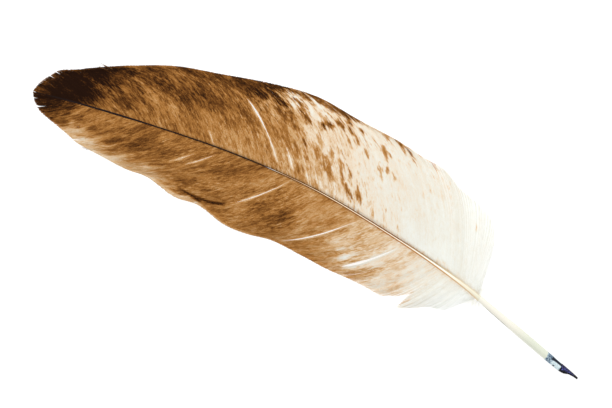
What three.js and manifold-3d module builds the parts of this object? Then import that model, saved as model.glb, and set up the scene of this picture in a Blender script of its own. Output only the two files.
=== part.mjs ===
import * as THREE from 'three';
import { mergeVertices } from 'three/addons/utils/BufferGeometryUtils.js';
import Module from 'manifold-3d';

// A large flight feather whose barrel is cut to a writing nib. It lies on a flat surface with
// its arched upper side up. All sizes are in millimetres. While it is drawn, x runs along the
// chord from the feather's tip to the nib, y across it with the broad vane on the + side, and
// z up from the surface. The last step moves the origin to the middle of its footprint.

// Shaft: centre line [x, y, z], then half width and half depth at places along x.
const SHAFT_LINE = [
  [1.5, 0.9, 0.9],
  [22, 5.7, 3.0],
  [59.5, 12.9, 5.9],
  [101.6, 19.2, 7.7],
  [145, 21.9, 8.0],
  [191, 19.2, 6.6],
  [225, 15.1, 4.7],
  [248.6, 10.1, 3.2],
  [282, 2.6, 2.1],
  [301, -1.6, 2.05],
];
const SHAFT_HALF_WIDTH = [[0, 0.35], [60, 0.45], [131, 0.55], [190, 1.0], [238, 1.5], [264, 2.1], [301, 2]];
const SHAFT_HALF_DEPTH = [[0, 0.35], [60, 0.7], [131, 1.0], [190, 1.3], [238, 1.65], [264, 2.1], [301, 2]];
const SHAFT_RINGS = 38;
const SHAFT_SIDES = 10;

// Vanes: each row is one barb, as [x of its root on the shaft, x of its tip, y of its tip].
const BROAD_BARBS = [
  [2, -1, 0.9],
  [8, -0.6, 3.2],
  [16, 0.4, 6.9],
  [25, 2.7, 10.8],
  [36, 6, 15.7],
  [50, 14, 20.5],
  [64, 25, 27.5],
  [80, 38, 35.0],
  [100, 56, 44.1],
  [125, 77, 50.8],
  [150, 101, 58.1],
  [172, 124, 62.8],
  [192, 147, 62.2],
  [208, 169, 62.0],
  [218, 184, 60.6],
  [223, 195, 60.2],
  [228, 207, 55.6],
  [232, 219, 53.2],
  [235, 229.5, 47.5],
  [237, 235.2, 35],
  [238.5, 237, 19],
];
const NARROW_BARBS = [
  [2, -0.9, 0.3],
  [8, 0.7, -2.0],
  [14, 2.9, -4.1],
  [22, 6.9, -6.6],
  [32, 14, -8.3],
  [44, 22, -9.9],
  [58, 31, -11.8],
  [76, 43, -12.0],
  [94, 57, -12.1],
  [108, 68.5, -10.7],
  [120, 84, -13.0],
  [131, 97, -11.2],
  [145, 112, -13.7],
  [158, 124, -12.7],
  [171, 137, -9.8],
  [185, 153, -9.6],
  [196, 167, -9.7],
  [206, 181, -8.8],
  [214, 194, -9.0],
  [221, 205, -10.8],
  [225, 212, -7.8],
  [229, 219, -3.5],
  [232, 226, -2.0],
  [235, 231, 3.5],
  [238, 236, 9.3],
];

// Bends: x of a barb's root, how far along x and y to its tip its bend sits, pull of the bend.
const BROAD_BEND = [
  [0, 0.5, 0.8, 1],
  [25, 0.5, 0.9, 1],
  [60, 0.45, 1.05, 1.1],
  [125, 0.42, 0.92, 1.1],
  [172, 0.46, 0.93, 1.1],
  [208, 0.46, 0.85, 1],
  [223, 0.45, 0.78, 1],
  [238, 0.5, 0.73, 1],
];
const NARROW_BEND = [[0, 0.5, 0.73, 1]];

const LOCKS = 40; // locks of barbs on each vane
const LOCK_RIDGE = 0.45; // how high a lock's crest stands over its valley
const LOCK_STEP = 0.014; // share of its length by which a valley stops short of the edge
const ROWS = [0, 0.1, 0.24, 0.4, 0.57, 0.74, 0.9, 1]; // places along a barb, root to tip
const VANE_THICK_AT_SHAFT = 0.5;
const VANE_THICK_AT_EDGE = 0.35;
const ROOT_OVERLAP = 0.25; // each vane starts this far past the middle of the shaft
const ARCH = 1.8; // power by which a vane drops from shaft to edge
const FLAT_FROM = 0.9; // share of a barb beyond which it lies on the surface
const EDGE_PRESS = 0.15; // how far the edges would sink if the surface didn't hold them flat
const EDGE_WAVE = 1.1; // how far the edges lift off the surface
const EDGE_WAVE_LENGTH = 74;

// The narrow vane's edge is turned up between these x, outside a crease.
const CURL = { from: 74, to: 110, crease: 0.9, lift: 2.2 };

// Splits between barbs: vane, root x of the barb, start and end along it, widest opening.
const SPLITS = [
  ['broad', 125, 0.03, 0.64, 1.0],
  ['broad', 133, 0.03, 0.26, 0.5],
  ['broad', 89.5, 0.03, 0.24, 0.5],
  ['narrow', 90.5, 0.16, 0.5, 0.5],
  ['narrow', 97, 0.06, 0.46, 0.5],
  ['narrow', 132.5, 0.04, 0.6, 0.6],
  ['narrow', 171, 0.04, 0.9, 0.85],
  ['narrow', 195, 0.08, 0.76, 1.35],
];
const SPLIT_STEPS = 6;

// Notches in the edges, as outlines seen from above.
const NOTCHES = [
  [[5.6, 11.1], [2.0, 11.6], [2.0, 10.8]],
  [[7.2, 13.8], [4.6, 15.2], [4.2, 14.4]],
  [[3.5, -1.4], [0, -2.4], [0, -3.0]],
  [[7.8, -1.8], [3.6, -5.6], [2.6, -4.4]],
  [[208.4, -1.0], [205.2, -11.4], [204, -14], [193, -14], [196, -9.2], [203.4, -5.3]],
];

// Nib: cut from the barrel, which is hollow there. Its back is turned a little to the broad
// side. The scoop's outline is [distance before the point, height over the barrel's middle].
const NIB_POINT_X = 300;
const NIB_TURN = THREE.MathUtils.degToRad(45);
const LUMEN_RADIUS = 1.45;
const LUMEN_LENGTH = 30;
const SCOOP = [[17, -3], [15.5, -2], [13, -0.8], [10, -0.2], [6, 0.3], [0, 0.8], [-4, 0.9], [-4, -3]];
const SHOULDER = [[8.6, 2.6], [7, 1.85], [5.2, 1.3], [2.5, 0.9], [0, 0.65], [-4, 0.5], [-4, 2.6]];
const SLIT = { length: 8, width: 0.16 };

const wasm = await Module();
wasm.setup();

// The value at x in a table whose rows start with their x.
function readOff(table, x, column = 1) {
  const last = table.findIndex(([at]) => at >= x);
  if (last < 0) return table[table.length - 1][column];
  if (last === 0) return table[0][column];
  const [before, after] = [table[last - 1], table[last]];
  return THREE.MathUtils.mapLinear(x, before[0], after[0], before[column], after[column]);
}

function smoothLine(points) {
  return new THREE.CatmullRomCurve3(points.map((p) => new THREE.Vector3(...p)), false, 'catmullrom');
}

const shaftPoints = smoothLine(SHAFT_LINE).getSpacedPoints(600);

function onShaft(x) {
  const next = Math.max(1, shaftPoints.findIndex((p) => p.x >= x));
  const [a, b] = [shaftPoints[next - 1], shaftPoints[next]];
  return a.clone().lerp(b, (x - a.x) / (b.x - a.x));
}

// A closed solid: triangles over a list of corners, as a manifold.
function solid(corners, faces) {
  const vertProperties = new Float32Array(corners.flatMap((p) => [p.x, p.y, p.z]));
  return new wasm.Manifold(new wasm.Mesh({ numProp: 3, vertProperties, triVerts: new Uint32Array(faces) }));
}

// A solid through rings of equal count; each end is closed by strips across its ring.
function loft(rings) {
  const count = rings[0].length;
  const faces = [];
  for (let i = 0; i + 1 < rings.length; i++) {
    for (let j = 0; j < count; j++) {
      const k = (j + 1) % count;
      const [a, b] = [i * count + j, i * count + k];
      faces.push(a, b, b + count, a, b + count, a + count);
    }
  }
  const end = (rings.length - 1) * count;
  for (let j = 0; 2 * j + 2 < count; j++) {
    const [a, b, c, d] = [j, j + 1, count - 2 - j, count - 1 - j];
    faces.push(a, d, b);
    faces.push(end + a, end + b, end + d);
    if (b < c) {
      faces.push(b, d, c);
      faces.push(end + b, end + c, end + d);
    }
  }
  return solid(rings.flat(), faces);
}

// A three.js geometry as a manifold, with the corners of neighbouring faces merged.
function fromGeometry(geometry) {
  geometry.deleteAttribute('normal');
  geometry.deleteAttribute('uv');
  const merged = mergeVertices(geometry);
  const corners = [];
  for (let i = 0; i < merged.attributes.position.count; i++) {
    corners.push(new THREE.Vector3().fromBufferAttribute(merged.attributes.position, i));
  }
  return solid(corners, merged.index.array);
}

function extruded(outline, depth) {
  const shape = new THREE.Shape(outline.map((p) => new THREE.Vector2(...p)));
  return new THREE.ExtrudeGeometry(shape, { depth, bevelEnabled: false });
}

// The shaft, from the thin rachis to the barrel.
function makeShaft() {
  const rings = [];
  const [first, last] = [shaftPoints[0].x, shaftPoints[shaftPoints.length - 1].x];
  for (let i = 0; i <= SHAFT_RINGS; i++) {
    const x = THREE.MathUtils.lerp(first, last, i / SHAFT_RINGS);
    const centre = onShaft(x);
    const [halfWidth, halfDepth] = [readOff(SHAFT_HALF_WIDTH, x), readOff(SHAFT_HALF_DEPTH, x)];
    const ring = [];
    for (let j = 0; j < SHAFT_SIDES; j++) {
      const turn = ((j + 0.5) / SHAFT_SIDES) * 2 * Math.PI;
      ring.push(new THREE.Vector3(x, halfWidth * Math.cos(turn), halfDepth * Math.sin(turn)));
    }
    rings.push(ring.map((p) => p.setY(p.y + centre.y).setZ(Math.max(0, p.z + centre.z))));
  }
  return loft(rings);
}

// One barb seen from above: it leaves its root towards its bend and turns there to its tip.
class Barb extends THREE.Curve {
  constructor(side, [rootX, tipX, tipY]) {
    super();
    const bend = side === 'broad' ? BROAD_BEND : NARROW_BEND;
    const root = onShaft(rootX);
    const bendX = THREE.MathUtils.lerp(root.x, tipX, readOff(bend, rootX, 1));
    const bendY = THREE.MathUtils.lerp(root.y, tipY, readOff(bend, rootX, 2));
    this.ends = [[root.x, root.y], [bendX, bendY], [tipX, tipY]].map((p) => new THREE.Vector2(...p));
    this.pull = readOff(bend, rootX, 3);
  }

  getPoint(t) {
    const shares = [(1 - t) ** 2, 2 * t * (1 - t) * this.pull, t ** 2];
    const point = new THREE.Vector2();
    this.ends.forEach((end, i) => point.addScaledVector(end, shares[i]));
    return point.divideScalar(shares[0] + shares[1] + shares[2]);
  }
}

function edgeHeight(x) {
  const wave = EDGE_WAVE * Math.sin((Math.PI * x) / EDGE_WAVE_LENGTH) ** 4;
  return VANE_THICK_AT_EDGE / 2 - EDGE_PRESS + wave;
}

// The middle height of a vane at a share t along the barb that is rooted at rootX.
function vaneHeight(side, rootX, tipX, t) {
  const shaftHeight = onShaft(rootX).z + 0.35 * readOff(SHAFT_HALF_DEPTH, rootX);
  const edge = edgeHeight(tipX);
  const arched = edge + (shaftHeight - edge) * (1 - Math.min(1, t / FLAT_FROM) ** ARCH);
  const inCurl = THREE.MathUtils.clamp((tipX - CURL.from) / (CURL.to - CURL.from), 0, 1);
  if (side === 'broad' || inCurl === 0 || inCurl === 1) return arched;
  const share = Math.sin(Math.PI * inCurl) ** 2;
  const dip = (1 - Math.abs(t - CURL.crease) / CURL.crease) ** 3;
  const rise = Math.max(0, (t - CURL.crease) / (1 - CURL.crease));
  return arched + share * (CURL.lift * rise - 0.8 * Math.max(0, dip));
}

// A vane: rings that run out along a barb on the upper face and back on the lower one.
function makeVane(side, barbs) {
  const outward = side === 'broad' ? 1 : -1;
  const lines = smoothLine(barbs).getSpacedPoints(2 * LOCKS);
  const rings = lines.map((line, i) => {
    const isCrest = i % 2 === 1;
    const curve = new Barb(side, line.toArray());
    const reach = isCrest ? 1 : 1 - LOCK_STEP;
    const [upper, lower] = [[], []];
    for (const row of ROWS) {
      const t = row * reach;
      const at = curve.getPoint(t);
      const y = row === 0 ? at.y - outward * ROOT_OVERLAP : at.y;
      const thick = THREE.MathUtils.lerp(VANE_THICK_AT_SHAFT, VANE_THICK_AT_EDGE, t);
      const crest = isCrest ? LOCK_RIDGE * Math.sin(Math.PI * Math.min(0.5, 1.5 * t)) : 0;
      const bottom = Math.max(0, vaneHeight(side, line.x, line.y, t) - thick / 2);
      upper.push(new THREE.Vector3(at.x, y, bottom + thick + crest));
      lower.unshift(new THREE.Vector3(at.x, y, bottom));
    }
    return [...upper, ...lower];
  });
  if (side === 'broad') rings.forEach((ring) => ring.reverse());
  return loft(rings);
}

// A lens along one barb, for the gap where the barbs have come apart.
function makeSplit(side, rootX, start, end, width) {
  const barbs = smoothLine(side === 'broad' ? BROAD_BARBS : NARROW_BARBS).getSpacedPoints(400);
  const barb = barbs.find((line) => line.x >= rootX);
  const curve = new Barb(side, barb.toArray());
  const [left, right] = [[], []];
  for (let i = 0; i <= SPLIT_STEPS; i++) {
    const t = THREE.MathUtils.lerp(start, end, i / SPLIT_STEPS);
    const at = curve.getPoint(t);
    const along = curve.getTangent(t);
    const half = (width / 2) * Math.sin((Math.PI * i) / SPLIT_STEPS);
    left.push([at.x - along.y * half, at.y + along.x * half]);
    if (i > 0 && i < SPLIT_STEPS) right.unshift([at.x + along.y * half, at.y - along.x * half]);
  }
  return cutThrough([...left, ...right]);
}

function cutThrough(outline) {
  return fromGeometry(extruded(outline, 30).translate(0, 0, -5));
}

// Cutters for the nib, drawn along the barrel and set on it by its direction and its back.
function makeNibCutters() {
  const point = onShaft(NIB_POINT_X);
  const along = onShaft(NIB_POINT_X - LUMEN_LENGTH).sub(point).normalize();
  const back = new THREE.Vector3(0, Math.sin(NIB_TURN), Math.cos(NIB_TURN));
  const side = new THREE.Vector3().crossVectors(along, back).normalize();
  back.crossVectors(side, along);
  const inProfile = new THREE.Matrix4().makeBasis(along, back, side).setPosition(point);
  const inPlan = new THREE.Matrix4().makeBasis(along, side, back.clone().negate()).setPosition(point);
  const scoop = extruded(SCOOP, 8).translate(0, 0, -4).applyMatrix4(inProfile);
  const shoulders = [1, -1].map((way) => {
    const outline = SHOULDER.map(([x, y]) => [x, way * y]);
    return extruded(outline, 8).translate(0, 0, -4).applyMatrix4(inPlan);
  });
  const halfSlit = SLIT.width / 2;
  const slitOutline = [[-4, -halfSlit], [SLIT.length, -halfSlit], [SLIT.length, halfSlit], [-4, halfSlit]];
  const slit = extruded(slitOutline, 4).translate(0, 0, -4).applyMatrix4(inPlan);
  const end = extruded([[0, -4], [0, 4], [-6, 4], [-6, -4]], 8).translate(0, 0, -4).applyMatrix4(inPlan);
  const lumen = new THREE.CylinderGeometry(LUMEN_RADIUS, LUMEN_RADIUS, LUMEN_LENGTH + 4, 12);
  lumen.translate(0, LUMEN_LENGTH / 2 - 2, 0).applyMatrix4(
    new THREE.Matrix4().makeBasis(back, along, side.clone().negate()).setPosition(point),
  );
  return [scoop, ...shoulders, slit, end, lumen].map(fromGeometry);
}

function toGeometry(manifold) {
  const { vertProperties, triVerts } = manifold.getMesh();
  const geometry = new THREE.BufferGeometry();
  geometry.setAttribute('position', new THREE.BufferAttribute(vertProperties, 3));
  geometry.setIndex(new THREE.BufferAttribute(triVerts, 1));
  return geometry;
}

// Moves the geometry so that the origin is in the middle of its footprint, on the surface.
function centreOnSurface(geometry) {
  geometry.computeBoundingBox();
  const { min, max } = geometry.boundingBox;
  geometry.translate(-(min.x + max.x) / 2, -(min.y + max.y) / 2, -min.z);
  return geometry;
}

function makeFeather() {
  let feather = makeShaft();
  for (const cutter of makeNibCutters()) feather = feather.subtract(cutter);
  feather = feather.add(makeVane('broad', BROAD_BARBS)).add(makeVane('narrow', NARROW_BARBS));
  for (const split of SPLITS) feather = feather.subtract(makeSplit(...split));
  for (const notch of NOTCHES) feather = feather.subtract(cutThrough(notch));
  const material = new THREE.MeshStandardMaterial({ color: 0x9a6a3a, roughness: 0.7, metalness: 0 });
  const mesh = new THREE.Mesh(centreOnSurface(toGeometry(feather)), material);
  mesh.name = 'feather';
  return mesh;
}

const group = new THREE.Group();
group.add(makeFeather());

export default group;
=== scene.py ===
import math

import bmesh
import bpy
import numpy as np
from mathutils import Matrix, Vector


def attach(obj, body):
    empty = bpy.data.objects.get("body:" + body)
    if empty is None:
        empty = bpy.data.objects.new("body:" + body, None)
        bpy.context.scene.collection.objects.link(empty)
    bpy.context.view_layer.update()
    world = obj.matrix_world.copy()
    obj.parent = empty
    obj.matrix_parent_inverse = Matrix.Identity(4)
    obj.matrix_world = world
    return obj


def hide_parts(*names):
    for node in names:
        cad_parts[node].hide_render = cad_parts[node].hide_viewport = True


# A large mottled flight feather cut to a writing nib, lying on a white surface.
# Numbers are in millimetres in the feather's own drawing, and become metres when a mesh
# is placed: x runs from the tip to the nib, y across with the broad vane on the + side,
# and z up from the surface.

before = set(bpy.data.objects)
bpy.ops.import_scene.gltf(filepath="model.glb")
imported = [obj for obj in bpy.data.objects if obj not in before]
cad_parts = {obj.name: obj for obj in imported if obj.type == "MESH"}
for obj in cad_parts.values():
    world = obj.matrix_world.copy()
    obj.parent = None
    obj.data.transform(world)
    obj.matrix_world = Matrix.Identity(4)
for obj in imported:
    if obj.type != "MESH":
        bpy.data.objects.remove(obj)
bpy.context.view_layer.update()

mm = 0.001
featherLength = 300
footprintMiddle = (149.712, 24.630)  # of the drawing, where the model has its origin
lowest = 0.02  # height under which no barb and no part of the rachis goes

# Reading curves and tables


def readOff(table, x):
    return np.interp(x, [row[0] for row in table], [row[1] for row in table])


# A smooth curve through rows of numbers, read at even steps.
def smoothRows(rows, count, fineSteps=6000):
    points = np.array(rows, float)
    points = np.vstack([2 * points[0] - points[1], points, 2 * points[-1] - points[-2]])
    at = np.linspace(0, len(rows) - 1, fineSteps)
    span = np.minimum(at.astype(int), len(rows) - 2)
    w = (at - span)[:, None]
    a, b, c, d = (points[span + k] for k in range(4))
    fine = b + 0.5 * w * (c - a + w * (2 * a - 5 * b + 4 * c - d + w * (3 * b - a - 3 * c + d)))
    steps = np.linalg.norm(np.diff(fine, axis=0), axis=1)
    gone = np.concatenate([[0], np.cumsum(steps)])
    even = np.linspace(0, gone[-1], count)
    return np.column_stack([np.interp(even, gone, column) for column in fine.T])


def blend(a, b, share):
    return a + (b - a) * share


def smoothStep(low, high, value):
    share = np.clip((value - low) / (high - low), 0, 1)
    return share * share * (3 - 2 * share)


def drift(rng, count, knots):  # slow random change from -1 to 1 along a row of things
    return np.interp(np.linspace(0, knots, count), range(knots + 1), rng.uniform(-1, 1, knots + 1))


# The shaft's line and thickness, as the solid model has them.
shaft = {
    "line": [
        (1.5, 0.9, 0.9), (22, 5.7, 3.0), (59.5, 12.9, 5.9), (101.6, 19.2, 7.7), (145, 21.9, 8.0),
        (191, 19.2, 6.6), (225, 15.1, 4.7), (248.6, 10.1, 3.2), (282, 2.6, 2.1), (301, -1.6, 2.05),
    ],
    "halfWidth": [(0, 0.35), (60, 0.45), (131, 0.55), (190, 1.0), (238, 1.5), (264, 2.1), (301, 2)],
    "halfDepth": [(0, 0.35), (60, 0.7), (131, 1.0), (190, 1.3), (238, 1.65), (264, 2.1), (301, 2)],
}
shaftLine = smoothRows(shaft["line"], 600)


def onShaft(x):
    return np.stack([x, *(np.interp(x, shaftLine[:, 0], shaftLine[:, k]) for k in (1, 2))], axis=-1)


# Turning arrays of places into meshes


def toModel(places):  # drawing millimetres to metres in the model's frame
    return (np.asarray(places) - (*footprintMiddle, 0)) * mm


def addMap(mesh, name, across, along):  # a UV map from one pair of numbers for each vertex
    corner = np.empty(len(mesh.loops), np.int32)
    mesh.loops.foreach_get("vertex_index", corner)
    pairs = np.column_stack([across, along])[corner]
    mesh.uv_layers.new(name=name).data.foreach_set("uv", pairs.astype(np.float32).ravel())


def addNumbers(mesh, name, values):
    mesh.attributes.new(name, "FLOAT", "POINT").data.foreach_set("value", values.astype(np.float32))


def addPiece(name, mesh, finish):
    mesh.polygons.foreach_set("use_smooth", [True] * len(mesh.polygons))
    mesh.materials.append(finish)
    piece = bpy.data.objects.new(name, mesh)
    bpy.context.collection.objects.link(piece)
    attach(piece, "root")
    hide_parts("feather")


# A closed prism along z, from -0.5 to 0.5, cut across into rows.
def makePrism(name, sides, rows):
    bm = bmesh.new()
    bmesh.ops.create_cone(bm, cap_ends=True, segments=sides, radius1=1, radius2=1, depth=1)
    lengths = [e for e in bm.edges if abs(e.verts[0].co.z - e.verts[1].co.z) > 0.5]
    bmesh.ops.subdivide_edges(bm, edges=lengths, cuts=rows - 1)
    mesh = bpy.data.meshes.new(name)
    bm.to_mesh(mesh)
    bm.free()
    return mesh


def readPlaces(mesh):
    places = np.empty(len(mesh.vertices) * 3)
    mesh.vertices.foreach_get("co", places)
    return places.reshape(-1, 3)


# Many closed four-sided strands in one mesh, all lying along z: one prism, which an array
# repeats. Also gives each vertex's strand, row, side and top.
def makeStrands(name, count, rows):
    source = bpy.data.objects.new(name + "One", makePrism(name + "One", 4, rows))
    bpy.context.collection.objects.link(source)
    copies = source.modifiers.new("copies", "ARRAY")
    copies.count = count
    copies.use_relative_offset = False
    copies.use_constant_offset = True
    copies.constant_offset_displace = (4, 0, 0)
    mesh = bpy.data.meshes.new_from_object(source.evaluated_get(bpy.context.evaluated_depsgraph_get()))
    mesh.name = name
    bpy.data.objects.remove(source)
    places = readPlaces(mesh).reshape(count, -1, 3)
    strand = np.repeat(np.arange(count), places.shape[1])
    side, top, row = (np.tile(places[0, :, k], count) for k in range(3))
    row = np.rint((row + 0.5) * rows).astype(int)
    return mesh, strand, row, np.rint(side), np.rint(top)


# Lays strands along their centre lines. centre is [strand, row, xyz], halfWidth and
# halfThick are [strand, row]; tilt leans each strand over its neighbour.
def layStrands(made, centre, halfWidth, halfThick, tilt):
    mesh, strand, row, side, top = made
    along = np.gradient(centre, axis=1)
    along /= np.linalg.norm(along, axis=2, keepdims=True)
    sideways = np.stack([-along[..., 1], along[..., 0], 0 * along[..., 0]], axis=2)
    sideways /= np.linalg.norm(sideways, axis=2, keepdims=True)
    places = centre[strand, row] + sideways[strand, row] * (side * halfWidth[strand, row])[:, None]
    places[:, 2] += top * halfThick[strand, row] + side * (halfWidth * tilt)[strand, row]
    places[:, 2] = np.maximum(places[:, 2], lowest)
    mesh.vertices.foreach_set("co", toModel(places).ravel())
    ends = np.empty(len(mesh.edges) * 2, np.int32)
    mesh.edges.foreach_get("vertices", ends)
    isSide = (top == 0)[ends.reshape(-1, 2)].all(axis=1)
    mesh.attributes.new("sharp_edge", "BOOLEAN", "EDGE").data.foreach_set("value", isSide)
    mesh.update()


# Materials


class Wire:  # one socket of a material, so that shader maths reads as an expression
    def __init__(self, finish, socket):
        self.finish = finish
        self.socket = socket

    def maths(self, operation, first, second):
        return self.finish.node("Math", {"operation": operation}, {0: first, 1: second})

    def __add__(self, other):
        return self.maths("ADD", self, other)

    __radd__ = __add__

    def __mul__(self, other):
        return self.maths("MULTIPLY", self, other)

    __rmul__ = __mul__

    def __sub__(self, other):
        return self.maths("SUBTRACT", self, other)

    def __rsub__(self, other):
        return self.maths("SUBTRACT", other, self)


class Finish:  # one material and the nodes in it
    def __init__(self, name):
        self.material = bpy.data.materials.new(name)
        self.material.use_nodes = True
        self.tree = self.material.node_tree
        self.tree.nodes.clear()

    def node(self, kind, settings, sockets, output=0):
        made = self.tree.nodes.new("ShaderNode" + kind)
        for name, value in settings.items():
            if name == "stops":
                fillRamp(made.color_ramp, value)
            else:
                setattr(made, name, value)
        for name, value in sockets.items():
            if isinstance(value, Wire):
                self.tree.links.new(value.socket, made.inputs[name])
            else:
                made.inputs[name].default_value = value
        return Wire(self, made.outputs[output])

    def step(self, value, low, high):  # 0 below low, 1 above high, smooth between
        sockets = {"Value": value, "From Min": low, "From Max": high}
        return self.node("MapRange", {"interpolation_type": "SMOOTHSTEP"}, sockets)

    def mix(self, share, first, second):  # colours, by the Mix node's own colour sockets
        settings = {"data_type": "RGBA", "blend_type": "MIX"}
        return self.node("Mix", settings, {0: share, 6: first, 7: second}, output=2)

    def grain(self, place, scale, detail=2.0, roughness=0.5):  # noise, stretched by scale
        spread = self.node("Mapping", {}, {"Vector": place, "Scale": scale})
        sockets = {"Vector": spread, "Scale": 1.0, "Detail": detail, "Roughness": roughness}
        return self.node("TexNoise", {}, sockets)


def display(red, green, blue):  # a colour as seen on screen, made linear
    linear = (((c / 255 + 0.055) / 1.055) ** 2.4 if c > 10 else c / 3294.6 for c in (red, green, blue))
    return (*linear, 1.0)


def fillRamp(ramp, stops):  # stops are pairs of a position and a colour as seen on screen
    while len(ramp.elements) < len(stops):
        ramp.elements.new(0.5)
    for element, (position, colour) in zip(ramp.elements, stops):
        element.position = position
        element.color = display(*colour)


def closeFinish(shader):
    finish = shader.finish
    made = finish.tree.nodes.new("ShaderNodeOutputMaterial")
    finish.tree.links.new(shader.socket, made.inputs["Surface"])
    return finish.material


# Colours of the vanes, from 0 for the palest to 1 for the darkest tone.
vaneTones = [
    (0.0, (253, 254, 253)), (0.04, (246, 248, 245)), (0.08, (240, 237, 227)), (0.12, (239, 226, 205)),
    (0.18, (228, 200, 160)), (0.26, (211, 169, 115)), (0.36, (193, 139, 77)), (0.46, (171, 117, 58)),
    (0.56, (146, 96, 46)), (0.66, (121, 76, 35)), (0.76, (97, 59, 27)), (0.88, (64, 38, 20)),
    (1.0, (41, 24, 16)),
]


# Noise that both vanes share, by its scale across and along the barbs, how much each noise
# lifts and lowers the tone, and how much light passes through the barbs.
vaneLook = {
    "threads": (1.5, 0.4, 1),
    "barbules": (2.4, 1.6, 1),
    "uneven": {"clouds": 0.9, "streaks": 0.5, "threads": 1.0, "barbules": 0.9},
    "through": 0.5,
    "throughLess": 0.2,  # where the barbs aren't white
}


# The ground's tone, the flecks' tone and how much of the ground they cover are painted on
# the barbs. Noise that is stretched along the barbs gives the flecks their ragged shapes.
def makeVaneFinish(name, look):
    finish = Finish(name)
    ground, flecks, cover, ridge = (
        finish.node("Attribute", {"attribute_name": paint}, {}, output="Fac")
        for paint in ("ground", "flecks", "cover", "ridge")
    )
    barbs = finish.node("UVMap", {"uv_map": "barbMap"}, {})
    place = finish.node("VectorMath", {"operation": "ADD"}, {0: barbs, 1: look["shift"]})
    blotches = finish.grain(place, look["blotches"], 3.0, 0.55)
    grains = {
        "clouds": finish.grain(place, look["clouds"], 2.0),
        "streaks": finish.grain(place, look["streaks"], 3.0, 0.6),
        "threads": finish.grain(place, vaneLook["threads"], 2.0),
        "barbules": finish.grain(place, vaneLook["barbules"], 2.0),
    }
    fine = grains["streaks"] - 0.5 + (grains["threads"] - 0.5) * 0.5
    amount = (blotches - 0.5) * look["ragged"] + fine * look["fine"] + cover
    shade = ground + (flecks - ground) * finish.step(amount, 0.1, 0.9)
    uneven = sum((grains[kind] - 0.5) * share for kind, share in vaneLook["uneven"].items())
    shade = shade * (1 + uneven) + (0.5 - ridge) * 0.03
    colour = finish.node("ValToRGB", {"stops": vaneTones}, {"Fac": shade})
    bumpSockets = {"Height": grains["barbules"], "Strength": 0.3, "Distance": 0.0001}
    surface = {
        "Base Color": colour, "Roughness": 0.6 + grains["barbules"] * 0.3,
        "Normal": finish.node("Bump", {}, bumpSockets), "Specular IOR Level": 0.0,
    }
    opaque = finish.node("BsdfPrincipled", {}, surface)
    through = finish.node("BsdfTranslucent", {}, {"Color": colour})
    share = vaneLook["through"] - vaneLook["throughLess"] * finish.step(shade, 0.02, 0.12)
    return closeFinish(finish.node("MixShader", {}, {0: share, 1: opaque, 2: through}))


# Colours along the rachis, at shares of the feather's length from its tip: down its middle,
# and down its sides towards the broad and the narrow vane.
rachisTones = {
    "middle": [
        (0.0, (30, 20, 16)), (0.14, (30, 26, 32)), (0.3, (40, 28, 26)), (0.39, (56, 38, 28)),
        # the near-white stop at 0.4 is a painted glint, a highlight across the rachis
        (0.4, (232, 228, 226)), (0.412, (222, 196, 164)), (0.43, (196, 154, 112)), (0.5, (250, 226, 190)),
        (0.62, (252, 244, 224)), (0.72, (244, 242, 232)), (0.76, (234, 228, 208)), (0.79, (226, 221, 200)),
        (0.8, (222, 219, 198)),
    ],
    "broadSide": [
        (0.0, (30, 20, 16)), (0.36, (44, 30, 24)), (0.42, (72, 40, 16)), (0.5, (84, 44, 12)),
        (0.62, (120, 70, 24)), (0.7, (158, 128, 88)), (0.74, (200, 182, 146)), (0.77, (222, 212, 184)),
        (0.8, (222, 219, 198)),
    ],
    "narrowSide": [
        (0.0, (30, 20, 16)), (0.36, (48, 32, 24)), (0.42, (86, 50, 22)), (0.5, (124, 72, 26)),
        (0.62, (176, 112, 48)), (0.71, (206, 154, 96)), (0.76, (220, 186, 142)), (0.79, (222, 200, 166)),
        (0.8, (222, 219, 198)),
    ],
}


# Rachis: near black at the tip, then pale along its middle between darker side lines.
def makeRachisFinish():
    finish = Finish("rachisHorn")
    places = finish.node("UVMap", {"uv_map": "shaftMap"}, {})
    across = finish.node("SeparateXYZ", {}, {0: places}, output="X")
    along = finish.node("SeparateXYZ", {}, {0: places}, output="Y")
    middle, broadSide, narrowSide = (
        finish.node("ValToRGB", {"stops": stops}, {"Fac": along}) for stops in rachisTones.values()
    )
    grain = finish.grain(places, (6, 160, 1), 3.0)
    offCentre = across + (grain - 0.5) * 0.2
    core = finish.step(along, 0.62, 0.78) * 0.24 + 0.1  # half width of the pale middle
    colour = finish.mix(finish.step(offCentre, core, core + 0.24), middle, broadSide)
    colour = finish.mix(finish.step(0 - offCentre, core, core + 0.24), colour, narrowSide)
    bump = finish.node("Bump", {}, {"Height": grain, "Strength": 0.2, "Distance": 0.0001})
    surface = {
        "Base Color": colour, "Roughness": 0.45 + grain * 0.2, "Normal": bump,
        "Specular IOR Level": 0.02,
    }
    return closeFinish(finish.node("BsdfPrincipled", {}, surface))
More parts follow.
